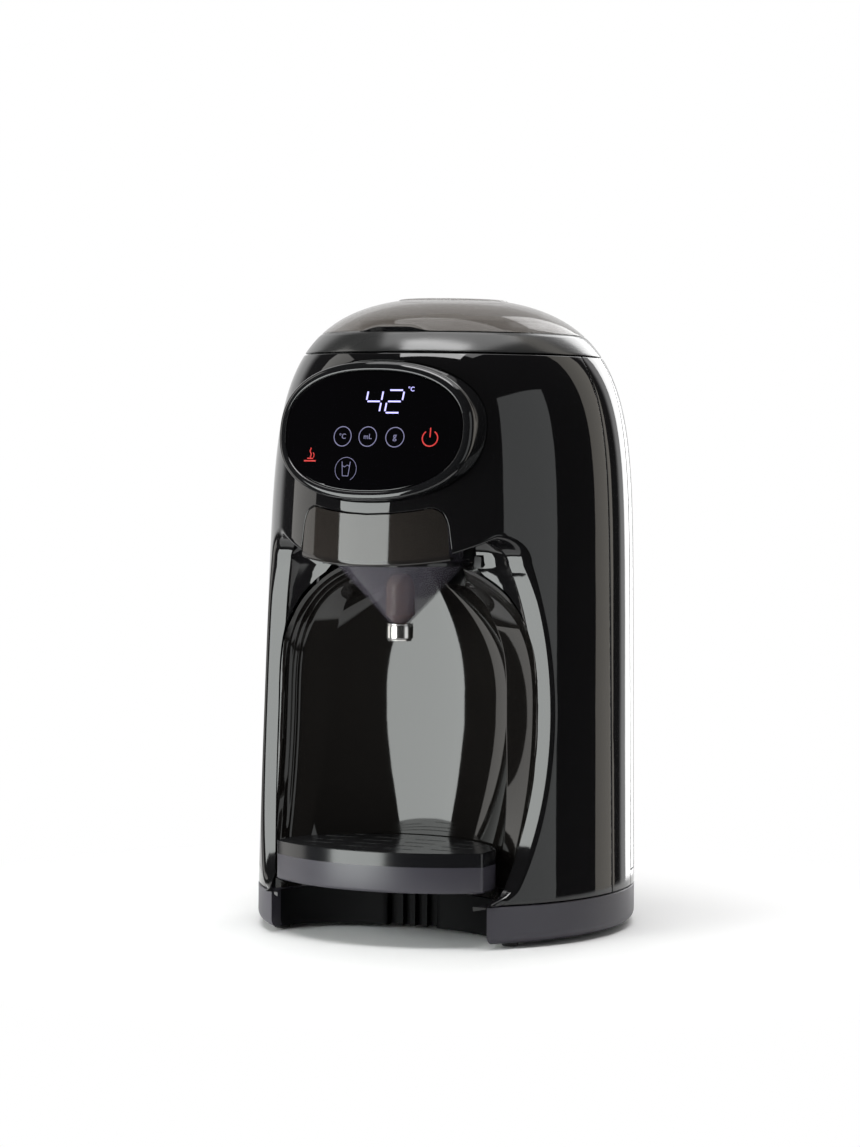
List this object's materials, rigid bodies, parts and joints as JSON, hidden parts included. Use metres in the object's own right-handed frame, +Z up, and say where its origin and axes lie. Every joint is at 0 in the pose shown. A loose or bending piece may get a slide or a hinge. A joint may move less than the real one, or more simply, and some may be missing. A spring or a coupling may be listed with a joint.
{
  "type": "baby formula maker",
  "caption": "Counter-top baby formula maker with a bottle bay, touch display, powder hopper, mixing funnel drawer, drip tray and water tank.",
  "frame": {"origin": "on the floor under the middle of the footprint", "axes": "+Z up, -Y the front with the bottle bay and the display, +X the machine's right as seen from the front"},
  "size_m": [0.208, 0.23, 0.35],
  "materials": {
    "gloss_black": "piano black, high gloss",
    "satin_grey": "satin grey",
    "smoked": "smoked, see-through",
    "tinted_clear": "grey-tinted clear",
    "amber": "brown, satin",
    "steel": "bright",
    "chrome": "polished",
    "rubber": "matt",
    "black_glass": "black, polished",
    "board": "circuit board green",
    "white_plastic": "white, satin",
    "dark_plastic": "dark grey, satin"
  },
  "bodies": {
    "machine": {"base_housing": "satin_grey", "base_cover": "dark_plastic", "foot_front_left": "rubber", "foot_front_right": "rubber", "foot_rear_left": "rubber", "foot_rear_right": "rubber", "base_screw_front_left": "steel", "base_screw_front_right": "steel", "base_screw_rear_left": "steel", "base_screw_rear_right": "steel", "cord_gland": "rubber", "front_shell": "gloss_black", "rear_shell": "gloss_black", "collar": "gloss_black", "lid_hinge_pin": "steel", "bay_liner": "gloss_black", "display_ring": "gloss_black", "display_glass": "black_glass", "display_board": "board", "digit_module": "dark_plastic", "drawer_rail_left": "dark_plastic", "drawer_rail_right": "dark_plastic", "tray_bracket": "dark_plastic", "dosing_base": "dark_plastic", "powder_chute": "dark_plastic", "gear_motor": "steel", "powder_hopper": "tinted_clear", "hopper_lid": "tinted_clear", "inner_frame": "dark_plastic", "tank_spigot": "dark_plastic", "spigot_ring": "rubber", "water_pump": "dark_plastic", "water_heater": "steel", "suction_hose": "white_plastic", "pressure_hose": "white_plastic", "outlet_hose": "white_plastic", "water_spout": "steel", "power_board": "board", "transformer": "dark_plastic"},
    "lid_body": {"lid": "smoked"},
    "tank_body": {"water_tank": "gloss_black", "tank_lid": "dark_plastic"},
    "valve_body": {"tank_valve": "dark_plastic"},
    "tray_body": {"drip_tray": "satin_grey"},
    "grille_body": {"drip_grille": "gloss_black"},
    "drawer_body": {"funnel_drawer": "smoked", "mixing_funnel": "tinted_clear", "mixing_insert": "amber", "outlet_nozzle": "chrome"},
    "dosing_body": {"dosing_wheel": "white_plastic", "drive_shaft": "steel", "stirrer": "white_plastic"},
    "pinion_body": {"motor_pinion": "white_plastic"}
  },
  "joints": [
    {"name": "lid_hinge", "type": "hinge", "parent": "machine", "child": "lid_body", "pos_m": [0, 0.08569, 0.333], "axis": [-1, 0, 0], "range_deg": [0, 80]},
    {"name": "tank_slide", "type": "slide", "parent": "machine", "child": "tank_body", "axis": [0, 1, 0], "range_m": [0, 0.11]},
    {"name": "valve_lift", "type": "slide", "parent": "tank_body", "child": "valve_body", "axis": [0, 1, 0], "range_m": [0, 0.003], "stiffness_N_per_m": 200, "springref_m": -0.002},
    {"name": "tray_slide", "type": "slide", "parent": "machine", "child": "tray_body", "axis": [0, -1, 0], "range_m": [0, 0.09]},
    {"name": "grille_lift", "type": "slide", "parent": "tray_body", "child": "grille_body", "axis": [0, 0, 1], "range_m": [0, 0.03]},
    {"name": "drawer_slide", "type": "slide", "parent": "machine", "child": "drawer_body", "axis": [0, -1, 0], "range_m": [0, 0.1]},
    {"name": "dosing_spin", "type": "hinge", "parent": "machine", "child": "dosing_body", "pos_m": [0, -0.01105, 0.2412], "axis": [0, 0, 1], "continuous": true},
    {"name": "pinion_spin", "type": "hinge", "parent": "machine", "child": "pinion_body", "pos_m": [0.04613, 0.02125, 0.2412], "axis": [0, 0, 1], "continuous": true}
  ],
  "couplings": [
    {"joint": "pinion_spin", "follows": "dosing_spin", "ratio": -4}
  ]
}
